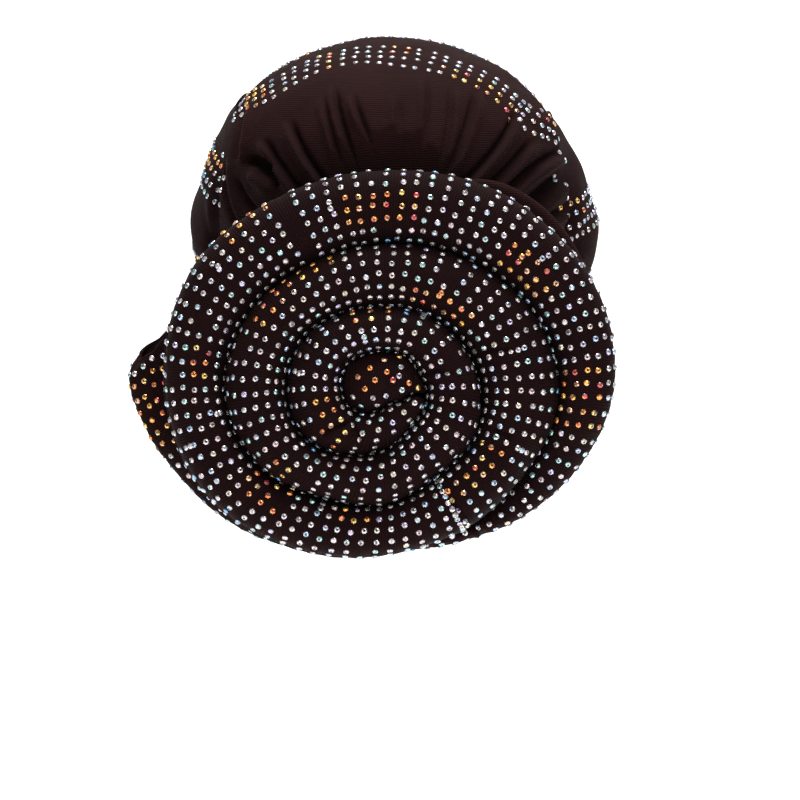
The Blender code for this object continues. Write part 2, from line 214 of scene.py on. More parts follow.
# Folds of the crown's back panel and of the wrap's visible sides. Each runs along a bent line of three pixels
# and has a valley beside a crest: half the valley's width in pixels, both depths in fold units, and the side
# of the crest, 1 for the left and -1 for the right.
CROWN_FOLDS = (
    # px0, py0, px1, py1, px2, py2, half_width, depth, crest, side
    (337, 88, 345, 128, 366, 184, 3.0, 2.6, 1.6, 1),
    (354, 96, 366, 132, 388, 180, 2.8, 2.0, 1.8, 1),
    (327, 100, 335, 134, 350, 184, 2.6, 1.5, 1.4, 1),
    (297, 122, 307, 150, 334, 190, 3.2, 2.6, 2.0, 1),
    (272, 140, 284, 162, 312, 200, 3.4, 2.6, 2.2, 1),
    (252, 104, 250, 134, 247, 160, 3.0, 1.0, 1.6, -1),
    (250, 164, 262, 161, 276, 170, 5.0, 5.0, 0.0, 1),
    (252, 166, 268, 166, 284, 184, 3.4, 2.6, 0.0, 1),
    (258, 183, 265, 182, 274, 190, 7.0, -2.2, 0.0, 1),
    (248, 176, 251, 192, 262, 208, 2.8, 2.2, 0.0, 1),
    (238, 156, 237, 186, 246, 222, 2.6, 1.8, 1.0, -1),
    (398, 100, 399, 130, 396, 180, 3.5, 0.8, 0.6, 1),
    (424, 82, 425, 120, 416, 180, 3.0, 1.3, 0.9, 1),
    (447, 90, 446, 125, 434, 182, 3.0, 1.2, 1.0, -1),
    (472, 92, 462, 130, 440, 182, 3.4, 2.0, 1.6, -1),
    (508, 114, 496, 142, 460, 184, 3.0, 2.9, 2.2, -1),
    (524, 140, 508, 162, 480, 190, 3.4, 2.9, 2.0, -1),
    (548, 152, 528, 166, 500, 192, 3.8, 3.2, 2.8, -1),
    (552, 174, 540, 184, 522, 204, 5.6, 4.4, 1.6, -1),
    (562, 202, 550, 208, 536, 218, 3.6, 3.0, 1.6, -1),
)
WRAP_FOLDS = (
    # px0, py0, px1, py1, px2, py2, half_width, depth, crest, side
    (238, 104, 222, 130, 216, 160, 3.0, 1.4, 1.0, -1),
    (206, 164, 207, 196, 216, 238, 2.6, 1.4, 0.8, 1),
    (228, 150, 222, 190, 220, 238, 3.0, 1.8, 1.0, 1),
    (572, 134, 577, 160, 580, 196, 3.0, 1.4, 0.8, 1),
    (586, 180, 578, 206, 560, 236, 3.2, 1.8, 1.0, -1),
    (572, 200, 567, 218, 554, 238, 4.4, 3.0, 1.2, -1),
)
# Creases of the roll, in the same columns.
ROLL_CREASES = (
    # px0, py0, px1, py1, px2, py2, half_width, depth, crest, side
    (320, 436, 333, 429, 348, 423, 2.6, 1.8, 0.8, 1),
    (352, 412, 354, 424, 360, 440, 2.2, 1.4, 1.2, 1),
    (478, 352, 494, 351, 512, 350, 2.6, 1.3, 0.6, 1),
    (488, 429, 498, 432, 510, 437, 2.6, 1.3, 0.6, 1),
    (424, 372, 436, 372, 450, 374, 2.6, 1.4, 0.8, 1),
    (296, 330, 304, 338, 312, 348, 2.6, 0.9, 0.5, 1),
    (440, 486, 462, 514, 486, 536, 2.2, 1.5, 0.9, 1),
)
FOLD_SAMPLES = 40
FOLD_UNIT = 0.0014  # one unit of depth or crest in those tables
FOLD_FADE = 0.35  # share of a fold's length over which it rises
CREST_OFFSET = 1.8  # from the valley's middle, and its width, in half widths of the valley
CREST_WIDTH = 1.3
FOLD_FACING = 0.35  # how far a place has to face backward before it has its full folds
WRAP_FOLD_FACING = (0.05, 0.45)
WRAP_FOLD_AZIMUTHS = (50.0, 75.0)
DEEPEST_FOLD = -0.0008  # below the crown's smooth face
FOLD_SHADE_DEPTH = 0.0045  # depth at which a valley's painted shade is darkest
NEAR_SHADE = 0.55  # painted shadow: how dark the panel is painted behind the rosette, and between which py
NEAR_PY = (105.0, 190.0)
SHADE_FACING = 0.5  # the same for that painted shadow

# Stones
STONE_RADIUS = 0.00138
STONE_SIDES = 8
STONE_SIZES = (0.95, 1.04)
STONE_TILT = 0.07
COLUMN_PITCH = 0.0059  # along the roll and along the bands
ROW_PITCH = 0.0054  # across the roll
MISSING_SHARE = 0.015
DOUBLE_SHARE = 0.012
DOUBLE_STEP = 2.1 * STONE_RADIUS
PLACE_SPREAD = 0.0004
STEEP_FACING = -0.45  # a stone whose direction has a y above this is seen from the side and gets tones of painted reflection
MAIN_TONE = 0.62  # shares of a stone's sectors: in its main tone, and in that or another of its tones; the rest get its painted shadow tone
ANY_TONE = 0.84
# Kinds of stones; dim ones lie in a groove and get greyer tones as painted shade.
CLEAR, WARM, GROOVE_SHADED = range(3)
STONE_COLOURS = {
    "white": (0.56, 0.51, 0.52),
    "pale_pink": (0.53, 0.40, 0.43),
    "warm_white": (0.56, 0.49, 0.38),
    "teal": (0.34, 0.56, 0.54),
    "pale_blue": (0.36, 0.48, 0.64),
    "lilac": (0.46, 0.40, 0.60),
    "deep_blue": (0.10, 0.28, 0.48),
    "grey": (0.26, 0.24, 0.25),
    "amber": (0.72, 0.37, 0.07),
    "yellow": (0.72, 0.55, 0.17),
    "orange": (0.68, 0.20, 0.05),
    "red": (0.50, 0.06, 0.08),
    "peach": (0.70, 0.42, 0.28),
    # dark tones: painted shadow on some sectors of a ring and painted dark reflection in the tables
    "dark": (0.015, 0.012, 0.014),
    "dark_warm": (0.06, 0.012, 0.006),
}
# Metallic and roughness, of most tones and of the others.
BRIGHT_FINISH = (0.75, 0.20)
OTHER_FINISHES = {"grey": (0.70, 0.20), "dark": (0.0, 0.12), "dark_warm": (0.0, 0.12)}
# Weights of the tones of a kind's rings and tables, and the tone of its painted shadow on some sectors of its
# ring.
CLEAR_RINGS = {
    "white": 40, "pale_pink": 15, "warm_white": 9, "teal": 15, "pale_blue": 11, "lilac": 6, "grey": 4,
}
# Rings of clear stones seen from the side: bluer and greyer tones, painted as their coating's reflection at a
# slant.
SLANT_REFLECTION_RINGS = {"white": 20, "teal": 20, "pale_blue": 16, "deep_blue": 7, "lilac": 9, "grey": 28}
WARM_RINGS = {"amber": 30, "orange": 28, "yellow": 18, "peach": 14, "red": 10}
GROOVE_SHADED_RINGS = {"grey": 56, "teal": 12, "white": 12, "pale_blue": 10, "deep_blue": 5, "lilac": 5}
# Tables are mostly dark, a painted dark reflection in the middle of each stone.
CLEAR_TABLES = {"dark": 60, "grey": 28, "pale_blue": 6, "pale_pink": 6}
WARM_TABLES = {"dark_warm": 62, "dark": 14, "red": 12, "amber": 12}
KIND_TONES = {
    CLEAR: (CLEAR_RINGS, CLEAR_TABLES, "grey"),
    WARM: (WARM_RINGS, WARM_TABLES, "dark_warm"),
    GROOVE_SHADED: (GROOVE_SHADED_RINGS, CLEAR_TABLES, "dark"),
}

# Stones on the roll. The columns of its sections from which stones start, where its inner side is free and
# where it isn't, and the last one.
FREE_COLUMN = -12
GROOVE_COLUMN = 3
LAST_COLUMN = 27
TAIL_MARGIN = 0.004
COLUMN_SPREAD = (0.95, 1.05)
ALONG_SPREAD = 0.3  # sections
ACROSS_SPREAD = 0.13  # of the pitch
PLAIN_TURNS = (176.0, 352.0)  # a column is left out there
PLAIN_REACH = 1.5
CHAIN_TURN = 358.0  # touching stones along the place where the roll comes out from under itself
CHAIN_PITCH = 0.0030
# Warm stones, by degrees along the roll and by distance from the rosette's middle in pixels.
WARM_ON_ROLL = (
    # from_turn, to_turn, from_px, to_px
    (-126, -106, 205, 262), (46, 68, 168, 215), (92, 110, 165, 200), (140, 163, 165, 200),
    (177, 200, 213, 230), (225, 240, 180, 205), (270, 290, 135, 175), (310, 322, 128, 142),
    (359, 390, 108, 132), (455, 495, 92, 112), (530, 575, 135, 152), (627, 645, 128, 142),
    (865, 905, 70, 86), (970, 1012, 52, 82),
)
# The centre's stones, in pixels.
CENTRE_WARM = (
    (384, 360), (399, 357), (370, 368), (387, 372), (358, 377), (375, 380), (393, 380), (365, 389),
    (382, 390), (409, 383), (418, 388),
)
CENTRE_CLEAR = (
    (353, 397), (373, 398), (361, 406), (377, 405), (386, 396), (402, 390), (412, 393), (401, 367),
    (399, 376), (394, 387),
)

# Bands of stones over the crown, from one side to the other. The rearmost one's first and last row are at
# these depths; the other bands lie straight across.
REAR_BAND = (
    # degrees from straight up towards +X, y of the first row, y of the last row
    (-115, -0.047, -0.02), (-62, -0.047, -0.026), (-50, -0.045, -0.03), (-42, -0.058, -0.038),
    (-36, -0.065, -0.047), (-12, -0.066, -0.047), (0, -0.072, -0.0495), (12, -0.074, -0.052),
    (20, -0.073, -0.056), (30, -0.0724, -0.056), (42, -0.0705, -0.057), (48, -0.067, -0.044),
    (53, -0.058, -0.034), (57, -0.048, -0.03), (64, -0.0475, -0.026), (115, -0.0475, -0.02),
)
BAND_ROWS = 4
BAND_ROW_PITCH = 0.0058
BAND_COUNT = 4
BANDS_Y = -0.065  # the others are counted from here
BAND_STEP = 0.042  # from one band to the next
BAND_CENTRE_Z = 0.03
BAND_LEAN = 0.0058  # radians that a column gains from row to row
BAND_NARROWING = 0.015  # share of its angle that a column loses from row to row
BAND_REACH = 115.0
BAND_SAMPLE = 0.5
BAND_SPREAD = 0.004  # radians
BAND_MISS = 0.01  # radians by which a stone may be off
RAY_START = 0.25
LEFT_BAND_END = 118  # py below which the rearmost band thins out to a single line
RIGHT_BAND_END = 146
SINGLES_END = 206
LEFT_SINGLES_SHARE = 0.5
WARM_ON_BAND = (
    # from_px, to_px, first_row, last_row
    (244, 264, 0, 3), (318, 331, 0, 3), (386, 414, 2, 3), (440, 468, 0, 1), (474, 517, 0, 1),
    (546, 560, 2, 3),
)
# Bands round the wrap, as shares of the way up it on the left, in front and on the right.
WRAP_BANDS = (
    # left, front, right
    (0.71, 0.68, 0.57),
    (0.27, 0.24, 0.20),
)
WRAP_BAND_SIDE = 60.0  # degrees from the face
WRAP_BAND_SPREAD = 0.0003
WARM_ON_WRAP = (
    # from_px, to_px, from_py, to_py
    (205, 232, 150, 172), (556, 584, 198, 212), (196, 210, 232, 262),
)
PATCH_SCALE = 55.0
PATCH_LEVEL = 0.22

# Stage
FLOOR_Z = -0.30
WALL_Y = 2.6
FLOOR_BEND = 0.9
BACKDROP_HALF_WIDTH = 4.0
BACKDROP_GLOW = 0.62
ROOM_LIGHT = 0.25  # soft light from all round
SEEN_WORLD = 0.97  # how bright the camera sees it
LIT_PLACE = (0.0, -0.05, 0.02)
LIGHTS = (
    # name, place, size, power
    ("key", (0.8, -1.5, 1.35), 1.3, 21.0),
    ("fill", (-1.2, -1.6, 0.45), 1.2, 5.0),
    ("top", (0.1, -0.1, 1.6), 1.1, 46.0),
)


def smooth(low, high, value):
    """0 below low, 1 above high, and a smooth rise between them."""
    share = np.clip((value - low) / (high - low), 0.0, 1.0)
    return share * share * (3.0 - 2.0 * share)


def curve(rows, at, column=1):
    """A column of a table, read on a smooth curve through its rows at values of their first column."""
    table = np.array(rows, float)
    x, y = table[:, 0], table[:, column]
    order = np.arange(len(x))
    low, high = np.maximum(order - 1, 0), np.minimum(order + 1, len(x) - 1)
    slope = (y[high] - y[low]) / (x[high] - x[low])
    at = np.clip(at, x[0], x[-1])
    i = np.clip(np.searchsorted(x, at) - 1, 0, len(x) - 2)
    width = x[i + 1] - x[i]
    t = (at - x[i]) / width
    rise = y[i + 1] - y[i]
    start, end = slope[i] * width, slope[i + 1] * width
    return y[i] + t * (start + t * (3 * rise - 2 * start - end + t * (start + end - 2 * rise)))


def unit(vectors):
    return vectors / np.maximum(np.linalg.norm(vectors, axis=-1, keepdims=True), 1e-12)


def stepped(spans):
    """Evenly spaced numbers over spans that follow on each other: from, to and how many."""
    runs = [np.linspace(*span) for span in spans]
    return np.concatenate([run[:-1] for run in runs[:-1]] + runs[-1:])


def photo_pixel(points):
    """Where the photograph shows points."""
    size = PIXEL * (points[..., 1] - CAMERA[1]) / -CAMERA[1]
    px = FRAME_PIXELS / 2 + (points[..., 0] - CAMERA[0]) / size
    py = FRAME_PIXELS / 2 - (points[..., 2] - CAMERA[2]) / size
    return px, py


def on_plane(px, py, y):
    """The point at a depth y that the photograph shows at a pixel."""
    size = PIXEL * (y - CAMERA[1]) / -CAMERA[1]
    return Vector((CAMERA[0] + (px - FRAME_PIXELS / 2) * size, y, CAMERA[2] - (py - FRAME_PIXELS / 2) * size))


def ripples(points, wavelength, offset):
    """Smooth random numbers from -1 to 1 at points, which change over a wavelength."""
    flat = points.reshape(-1, 3) / wavelength + offset
    return np.array([noise.noise(Vector(p)) for p in flat]).reshape(points.shape[:-1])


def ripple_push(points, rows):
    return sum(height * ripples(points, wavelength, offset) for height, wavelength, offset in rows)


def fold_push(points, folds):
    """How far folds move points outward."""
    px, py = photo_pixel(points)
    push = np.zeros(px.shape)
    t = np.linspace(0.0, 1.0, FOLD_SAMPLES)
    for x0, y0, x1, y1, x2, y2, half_width, depth, crest, side in folds:
        line = [
            (1 - t) ** 2 * a + 2 * t * (1 - t) * (2 * b - (a + c) / 2) + t**2 * c
            for a, b, c in ((x0, x1, x2), (y0, y1, y2))
        ]
        line = np.stack(line, -1)
        heading = unit(np.gradient(line, axis=0))
        nearest = np.argmin((px[..., None] - line[:, 0]) ** 2 + (py[..., None] - line[:, 1]) ** 2, axis=-1)
        dx, dy = px - line[nearest, 0], py - line[nearest, 1]
        tx, ty = heading[nearest, 0], heading[nearest, 1]
        off = (tx * dy - ty * dx) / half_width
        past = (tx * dx + ty * dy) / half_width * ((nearest == 0) | (nearest == FOLD_SAMPLES - 1))
        fade = smooth(0.0, FOLD_FADE, nearest / (FOLD_SAMPLES - 1))
        valley = np.exp(-(off**2) - past**2)
        ridge = np.exp(-(((off - CREST_OFFSET * side) / CREST_WIDTH) ** 2) - past**2)
        push += FOLD_UNIT * fade * (crest * ridge - depth * valley)
    return push


def painted_fold_shade(push):
    """Painted shade of a fold's valley, from 0 to 1."""
    return smooth(0.0, FOLD_SHADE_DEPTH, -push)


# Meshes


def link_object(name, data):
    made = bpy.data.objects.new(name, data)
    bpy.context.scene.collection.objects.link(made)
    return made


def new_object(name, vertices, faces, uv, material):
    """A smooth mesh object; uv holds one pair for each corner of each face, in metres."""
    mesh = bpy.data.meshes.new(name)
    mesh.from_pydata([tuple(v) for v in vertices], [], faces)
    layer = mesh.uv_layers.new(name="knit")
    layer.data.foreach_set("uv", np.asarray(uv, np.float32).ravel())
    mesh.materials.append(material)
    mesh.shade_smooth()
    mesh.update()
    return link_object(name, mesh)


def grid_faces(rows, columns, closed, flip):
    """Faces of a grid, and each corner's row and column, which runs on past the last in a closed grid."""
    faces, corners = [], []
    for i in range(rows - 1):
        for k in range(columns if closed else columns - 1):
            square = [(i, k), (i, k + 1), (i + 1, k + 1), (i + 1, k)]
            if flip:
                square.reverse()
            faces.append([r * columns + c % columns for r, c in square])
            corners += square
    return faces, corners


def grid_object(name, grid, u, v, closed, flip, material, ends=()):
    """A mesh through a grid of points. u and v give the cloth's own lengths at each row and column, with one
    more column where it is closed. ends says at which rows, 0 or -1, a closed grid gets a lid."""
    rows, columns = grid.shape[:2]
    faces, corners = grid_faces(rows, columns, closed, flip)
    uv = [(u[r, c], v[r, c]) for r, c in corners]
    vertices = list(grid.reshape(-1, 3))
    for end in ends:
        row = end % rows
        middle = len(vertices)
        vertices.append(grid[row].mean(0))
        for k in range(columns):
            trio = [row * columns + k, row * columns + (k + 1) % columns, middle]
            pairs = [(u[row, k], v[row, k]), (u[row, k + 1], v[row, k + 1]), (u[row, k], v[row, k])]
            if (end == 0) != flip:
                trio.reverse()
                pairs.reverse()
            faces.append(trio)
            uv += pairs
    return new_object(name, vertices, faces, uv, material)


def grid_normals(grid, closed, flip):
    """Outward directions at a grid's points."""
    down = np.gradient(grid, axis=0)
    if closed:
        along = np.roll(grid, -1, axis=1) - np.roll(grid, 1, axis=1)
    else:
        along = np.gradient(grid, axis=1)
    normals = unit(np.cross(along, down))
    return -normals if flip else normals


def solidify(piece, wall):
    modifier = piece.modifiers.new("wall", "SOLIDIFY")
    modifier.thickness = wall
    modifier.offset = -1.0
    modifier.use_rim = True
    return modifier


def set_painted_shade(piece, values):
    """Stores a grid object's painted shade, which darkens its fold valleys, grooves and hollows; the middles
    of its lids get none.
    """
    lids = len(piece.data.vertices) - values.size
    layer = piece.data.attributes.new("painted_shade", "FLOAT", "POINT")
    layer.data.foreach_set("value", np.pad(values.ravel(), (0, lids)))


def tube(name, line, radius, closed, material, sides=8):
    """A round tube along a line of points."""
    line = np.asarray(line, float)
    if closed:
        heading = unit(np.roll(line, -1, axis=0) - np.roll(line, 1, axis=0))
    else:
        heading = unit(np.gradient(line, axis=0))
    side = np.zeros_like(line)
    side[0] = unit(np.cross(heading[0], (0.31, 0.22, 0.92)))
    for k in range(1, len(line)):
        side[k] = unit(side[k - 1] - heading[k] * np.dot(side[k - 1], heading[k]))
    up = np.cross(heading, side)
    angles = 2 * np.pi * np.arange(sides) / sides
    grid = line[:, None] + radius * (
        np.cos(angles)[None, :, None] * side[:, None] + np.sin(angles)[None, :, None] * up[:, None]
    )
    if closed:
        grid = np.concatenate((grid, grid[:1]), axis=0)
        line = np.concatenate((line, line[:1]), axis=0)
    lengths = np.concatenate(([0.0], np.cumsum(np.linalg.norm(np.diff(line, axis=0), axis=1))))
    u = np.repeat(lengths[:, None], sides + 1, axis=1)
    v = np.repeat((radius * 2 * np.pi * np.arange(sides + 1) / sides)[None], len(grid), axis=0)
    return grid_object(name, grid, u, v, True, False, material, ends=() if closed else (0, -1))


# Crown and wrap


def crown_surface(azimuth, way):
    """The crown's outer face without gathers, at degrees from the face and a share of the way over it."""
    turn = np.radians(azimuth)
    across, along = np.sin(turn), np.cos(turn)
    front = along >= 0
    depth = np.where(front, CROWN_FRONT_DEPTH, CROWN_BACK_DEPTH)
    width = CROWN_HALF_WIDTH * curve(CROWN_PROFILE, way, 2)
    reach = depth * np.where(front, curve(CROWN_PROFILE, way, 3), curve(CROWN_PROFILE, way, 4))
    rim = RIM_SLOPE * depth * np.where(front, CROWN_PROFILE[0][3], CROWN_PROFILE[0][4]) * along
    height = rim + (CROWN_TOP - rim) * curve(CROWN_PROFILE, way, 1)
    return np.stack((width * across, reach * along, height), axis=-1)


def outward(azimuth, way):
    """The direction that the crown's smooth surface faces."""
    around = crown_surface(azimuth + 0.5, way) - crown_surface(azimuth - 0.5, way)
    over = crown_surface(azimuth, way + 0.01) - crown_surface(azimuth, way - 0.01)
    return unit(np.cross(over, around))


def crown_points(azimuth, way):
    """The crown's outer face with its puff, folds and small ripples, and its painted shade: in the valleys of
    its folds and behind the rosette.
    """
    points = crown_surface(azimuth, way)
    from_face = 180.0 - np.abs(180.0 - azimuth % FULL_TURN)
    behind_wrap = smooth(PUFF_START, PUFF_FULL, from_face - WRAP_REAR_AZIMUTH)
    edge_puff = np.where(azimuth % FULL_TURN > 180.0, EDGE_PUFF[0], EDGE_PUFF[1])
    beside_edge = 1.0 - smooth(0.0, EDGE_PUFF_END, from_face - WRAP_REAR_AZIMUTH)
    puff = PANEL_PUFF + edge_puff * beside_edge * (1.0 - smooth(*EDGE_PUFF_WAYS, way))
    facing = outward(azimuth, way)
    folds = fold_push(points, CROWN_FOLDS) * smooth(0.0, FOLD_FACING, -facing[..., 1])
    bare = np.maximum(behind_wrap, smooth(*BARE_WAYS, way))
    push = puff * behind_wrap * curve(PUFF_UP_CROWN, way) + folds + bare * ripple_push(points, CROWN_RIPPLES)
    points = points + facing * np.maximum(push, DEEPEST_FOLD)[..., None]
    points[..., 1] = np.maximum(points[..., 1], SEAT_Y)
    # Painted shadow behind the rosette: darker further down the panel, where it faces backward.
    _, py = photo_pixel(points)
    rosette_painted_shadow = NEAR_SHADE * smooth(*NEAR_PY, py) * smooth(0.0, SHADE_FACING, -facing[..., 1])
    return points, np.maximum(painted_fold_shade(folds), rosette_painted_shadow)


def wrap_points(azimuth, share):
    """The wrap's outer face, at degrees from the face and a share of the way up it, and the painted shade in
    its fold valleys.
    """
    way = share * curve(WRAP_EDGE, azimuth)
    right = smooth(-LOFT_BLEND, LOFT_BLEND, azimuth)
    up_wrap = (1.0 - right) * curve(LOFT_UP_WRAP, share, 1) + right * curve(LOFT_UP_WRAP, share, 2)
    loft = up_wrap * curve(LOFT_ROUND_HEAD, azimuth)
    fan = np.arctan2(share - PLEAT_HEIGHT, PLEAT_SPREAD + (WRAP_REAR_AZIMUTH - np.abs(azimuth)) / 90.0)
    raised = smooth(0.0, FULL_PLEAT_LOFT, loft)
    stand_off = WRAP_LOFT * loft + WRAP_PLEAT * np.sin(PLEAT_COUNT * fan) * raised
    points = crown_surface(azimuth, way)
    facing = outward(azimuth, way)
    folds = fold_push(points + facing * stand_off[..., None], WRAP_FOLDS) * raised
    folds *= smooth(*WRAP_FOLD_AZIMUTHS, np.abs(azimuth)) * smooth(*WRAP_FOLD_FACING, -facing[..., 1])
    stand_off += folds + raised * ripple_push(points, WRAP_RIPPLES)
    stand_off = wrap_wall(azimuth, share) + WRAP_GAP + np.maximum(stand_off, 0.0)
    return points + facing * stand_off[..., None], painted_fold_shade(folds)


def wrap_wall(azimuth, share):
    """The wrap's thickness, which thins towards its top and rear edges."""
    inside = smooth(0.0, WRAP_THINNING, 1.0 - share)
    inside *= smooth(0.0, WRAP_REAR_THINNING, WRAP_REAR_AZIMUTH - np.abs(azimuth))
    return WRAP_EDGE_WALL + (WRAP_WALL - WRAP_EDGE_WALL) * inside


def cloth_lengths(grid):
    """Lengths over a grid's surface: along each row and down each column, from its first point."""
    along = np.cumsum(np.linalg.norm(np.diff(grid, axis=1), axis=2), axis=1)
    down = np.cumsum(np.linalg.norm(np.diff(grid, axis=0), axis=2), axis=0)
    return np.pad(along, ((0, 0), (1, 0))), np.pad(down, ((1, 0), (0, 0)))


def make_crown(material):
    azimuths, ways = stepped(CROWN_COLUMNS), stepped(CROWN_ROWS)
    azimuth, way = np.meshgrid(azimuths, ways)
    grid, painted_shade = crown_points(azimuth[:, :-1], way[:, :-1])
    along, down = cloth_lengths(crown_surface(azimuth, way))
    middle_row = np.argmin(np.abs(ways - MIDDLE_WAY))
    u = np.repeat(along[middle_row][None], len(ways), axis=0)
    v = np.repeat(down.mean(1)[:, None], len(azimuths), axis=1)
    crown = grid_object("crown_cloth", grid, u, v, True, True, material, ends=(-1,))
    set_painted_shade(crown, painted_shade)
    solidify(crown, CROWN_WALL)
    return crown, grid


def make_wrap(material):
    azimuths = np.linspace(-WRAP_REAR_AZIMUTH, WRAP_REAR_AZIMUTH, WRAP_COLUMNS)
    azimuth, share = np.meshgrid(azimuths, np.linspace(0.0, 1.0, WRAP_ROWS))
    grid, painted_shade = wrap_points(azimuth, share)
    along, down = cloth_lengths(grid)
    u = np.repeat(along[WRAP_ROWS // 2][None], WRAP_ROWS, axis=0)
    wrap = grid_object("wrap_cloth", grid, u, down, False, True, material)
    set_painted_shade(wrap, painted_shade)
    walls = wrap.vertex_groups.new(name="wall")
    for k, wall in enumerate(wrap_wall(azimuth, share).ravel()):
        walls.add([k], float(wall / WRAP_WALL), "REPLACE")
    solidify(wrap, WRAP_WALL).vertex_group = walls.name
    return wrap, grid


# Rosette


def edge_share(turn):
    """The roll's edge, as a share of the rosette's radius, at degrees along the roll from its start."""
    rows = [(SPIRAL_STEP * k, share) for k, share in enumerate(s for row in SPIRAL_EDGES for s in row)]
    return curve(rows, turn)


def roll_edges(turn):
    """Inner and outer distance of the roll from the rosette's axis."""
    inner = np.where(turn < 0.0, curve(TAIL, turn, 1), edge_share(np.maximum(turn, 0.0) + FULL_TURN))
    outer = np.where(turn < 0.0, curve(TAIL, turn, 2), edge_share(np.maximum(turn, 0.0)))
    return inner * ROSETTE_RADIUS - TURN_PRESS * smooth(0.0, PRESS_FULL, turn), outer * ROSETTE_RADIUS


def polar(radius, degrees, y):
    """Points at a radius and an angle round the rosette's axis."""
    turn = np.radians(degrees)
    x, z = ROSETTE_X + radius * np.cos(turn), ROSETTE_Z + radius * np.sin(turn)
    return np.stack((x, y + 0 * x, z), axis=-1)


def roll_rings():
    """Turn, size across and size through of each of the roll's sections, from the tail's mouth to the tip."""
    first = TAIL[0][0]
    rings = [(first + past, across, through) for past, across, through in MOUTH_RINGS]
    count = round((ROLL_TIP_TURN - first) / SECTION_STEP)
    rings += [(first + SECTION_STEP * k, 1.0, 1.0) for k in range(1, count + 1)]
    for k in range(1, TIP_RINGS + 1):
        share = k / (TIP_RINGS + 0.4)
        size = math.sqrt(1 - share**2)
        rings.append((ROLL_TIP_TURN + TIP_LENGTH * share, size, size))
    return np.array(rings)


def rounded(values):
    """Sines or cosines of a section's angles, drawn out towards a square."""
    return np.sign(values) * np.abs(values) ** ROLL_FULLNESS


def section_across(columns):
    """Place across a section, from its inner side, -1, to its outer side, 1."""
    return rounded(np.cos(2 * np.pi * np.asarray(columns) / SECTION_SIDES))


def roll_grid():
    """The roll's outer face: a row for each section, a column for each angle round it, its front at 90."""
    rings = roll_rings()
    turn = rings[:, 0, None]
    columns = np.arange(SECTION_SIDES)[None]
    across = section_across(columns)
    out = rounded(np.sin(2 * np.pi * columns / SECTION_SIDES))
    inner, outer = roll_edges(turn)
    forward = smooth(0.0, TAIL_RISE_END, turn)
    middle_y = TAIL_Y + (ROLL_Y - TAIL_Y) * forward
    half_depth = (TAIL_THICKNESS + (ROLL_THICKNESS - TAIL_THICKNESS) * forward) / 2
    through = half_depth + SPIRAL_RISE * smooth(RISE_START, RISE_FULL, turn) * (out > 0)
    radius = (inner + outer) / 2 + (outer - inner) / 2 * rings[:, 1, None] * across
    mouth = curve(MOUTH_EDGE, across) + MOUTH_SETBACK * smooth(-0.3, 0.5, out)
    skew = mouth * (1.0 - smooth(0.0, MOUTH_FADE, turn - TAIL[0][0]))
    grid = polar(radius, SPIRAL_START + turn + skew, middle_y - through * rings[:, 2, None] * out)
    front = smooth(-0.2, 0.4, out)
    pucker = np.sin(2 * np.pi * roll_lengths(rings)[:, None] / PUCKER_PITCH + 3.0 * ripples(grid, 0.03, 1.7))
    push = fold_push(grid, ROLL_CREASES) * front + ripple_push(grid, ROLL_RIPPLES)
    push += PUCKER_HEIGHT * pucker * smooth(*PUCKER_ACROSS, np.abs(across)) * front
    body = smooth(0.6, 1.0, rings[:, 1, None])
    return grid + grid_normals(grid, True, True) * (push * body)[..., None], rings


def roll_lengths(rings):
    """Distance along the roll's middle line at each section."""
    inner, outer = roll_edges(rings[:, 0])
    steps = np.diff(np.radians(rings[:, 0])) * ((inner + outer) / 2)[1:]
    return np.concatenate(([0.0], np.cumsum(steps)))


def groove_share(turn, columns):
    """How far a place lies into a groove between two of the roll's times round, from 0 to 1."""
    across = section_across(columns)
    inner, outer = smooth(-20.0, 20.0, turn), smooth(FULL_TURN, FULL_TURN + 20.0, turn)
    start = np.where(across < 0.0, INNER_GROOVE_START, OUTER_GROOVE_START)
    return np.where(across < 0.0, inner, outer) * smooth(start, 1.0, np.abs(across))


def make_roll(material):
    grid, rings = roll_grid()
    sides = np.arange(SECTION_SIDES + 1)
    u = np.repeat(roll_lengths(rings)[:, None], len(sides), axis=1)
    v = np.repeat((2 * np.pi * SECTION_RADIUS * sides / SECTION_SIDES)[None], len(rings), axis=0)
    roll = grid_object("rosette_roll_pad", grid, u, v, True, True, material, ends=(0, -1))
    # Painted shade, darker towards the grooves between the roll's turns.
    painted_shade = GROOVE_SHADE * groove_share(rings[:, 0, None], sides[None, :-1])
    # Painted shade at its fullest inside the tail's open end.
    painted_shade[:len(MOUTH_RINGS) - 1] = 1.0
    set_painted_shade(roll, painted_shade)
    return roll, grid, rings


def lobe_outline(degrees):
    """The tucked lobe's edge: the spiral's innermost time round."""
    start = ROLL_TIP_TURN + LOBE_START
    turn = start + (degrees - SPIRAL_START - start) % FULL_TURN
    return edge_share(turn) * ROSETTE_RADIUS


def base_outline(degrees):
    return curve(BASE_OUTLINE, degrees) * ROSETTE_RADIUS


def disc_grid(outline, profile, sides):
    """Rings round the rosette's axis: profile holds (share of the outline, y), from the back to the front."""
    degrees = FULL_TURN * np.arange(sides) / sides
    return np.array([polar(share * outline(degrees), degrees, y) for share, y in profile])


def disc_object(name, grid, material):
    u = np.concatenate((grid[..., 0], grid[:, :1, 0]), axis=1)
    v = np.concatenate((grid[..., 2], grid[:, :1, 2]), axis=1)
    return grid_object(name, grid, u, v, True, False, material, ends=(0, -1))


